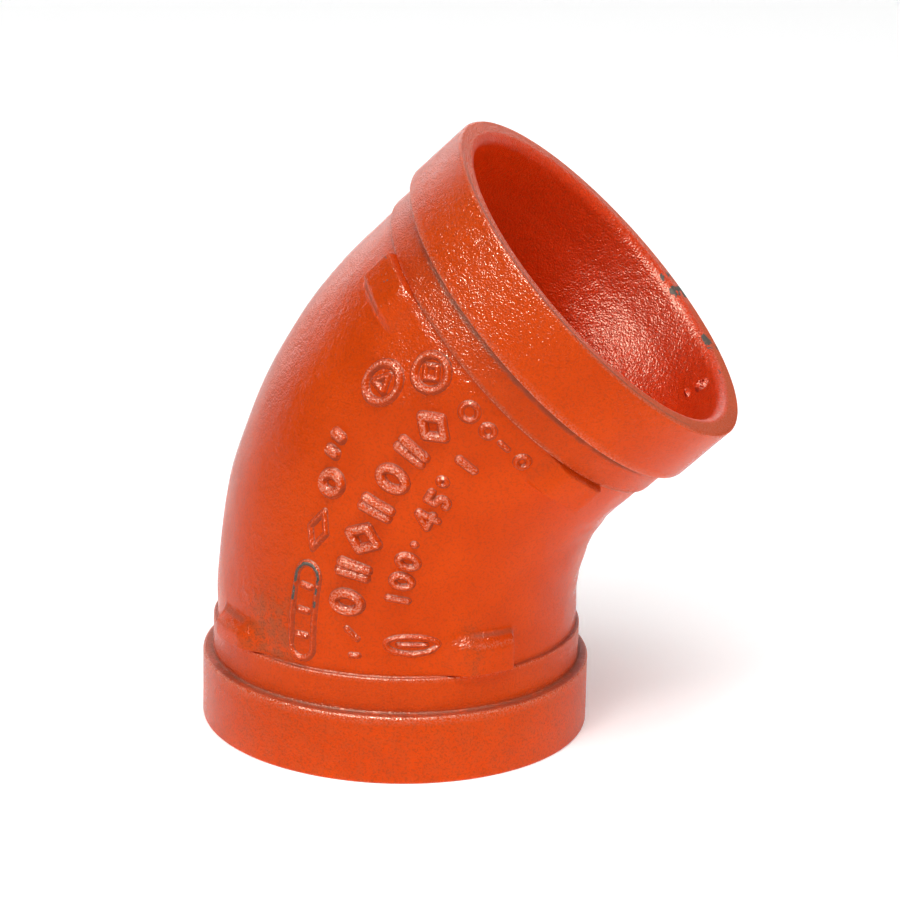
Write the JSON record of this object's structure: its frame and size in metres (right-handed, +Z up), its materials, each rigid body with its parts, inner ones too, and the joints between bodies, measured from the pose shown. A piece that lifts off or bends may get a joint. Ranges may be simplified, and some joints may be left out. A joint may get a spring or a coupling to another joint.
{
  "type": "pipe elbow",
  "caption": "Curved pipe fitting with a grooved collar at each end, which turns a pipe line through 45 degrees and is held by clamp-on couplings.",
  "frame": {"origin": "centre of the bounding box on the plane of the lower end face, on which the elbow stands", "axes": "+Z up along the axis of the lower end, +X towards the side that the bend leans to, the bend lies in the XZ plane"},
  "size_m": [0.1212, 0.0896, 0.1398],
  "materials": {
    "enamel": "glossy orange-red enamel over a sand-cast surface"
  },
  "bodies": {
    "root": {"lower_grooved_end": "enamel", "bend_body": "enamel", "upper_grooved_end": "enamel", "lower_stop_lug_1": "enamel", "lower_stop_lug_2": "enamel", "lower_stop_lug_3": "enamel", "lower_stop_lug_4": "enamel", "upper_stop_lug_1": "enamel", "upper_stop_lug_2": "enamel", "upper_stop_lug_3": "enamel", "upper_stop_lug_4": "enamel", "badge_1_ring": "enamel", "badge_1_triangle": "enamel", "badge_2_ring": "enamel", "badge_2_square": "enamel", "degree_ring": "enamel", "left_bar_1": "enamel", "left_bar_2": "enamel", "left_rhombus": "enamel", "left_ring": "enamel", "lot_mark_1": "enamel", "lot_mark_2": "enamel", "main_row_sign_1": "enamel", "main_row_sign_2": "enamel", "main_row_sign_3": "enamel", "main_row_sign_4": "enamel", "main_row_sign_5": "enamel", "main_row_sign_6": "enamel", "main_row_sign_7": "enamel", "mouth_bar": "enamel", "mouth_ring": "enamel", "numeral_4": "enamel", "numeral_5": "enamel", "oval_plate_bar": "enamel", "oval_plate_rim": "enamel", "plate_bar_1": "enamel", "plate_bar_2": "enamel", "plate_bar_3": "enamel", "plate_frame": "enamel", "second_row_bar": "enamel", "second_row_dot": "enamel", "second_row_end_bar": "enamel", "second_row_ring_1": "enamel", "second_row_ring_2": "enamel", "small_ring": "enamel", "top_row_bar": "enamel", "top_row_ring_1": "enamel", "top_row_ring_2": "enamel"}
  },
  "joints": []
}
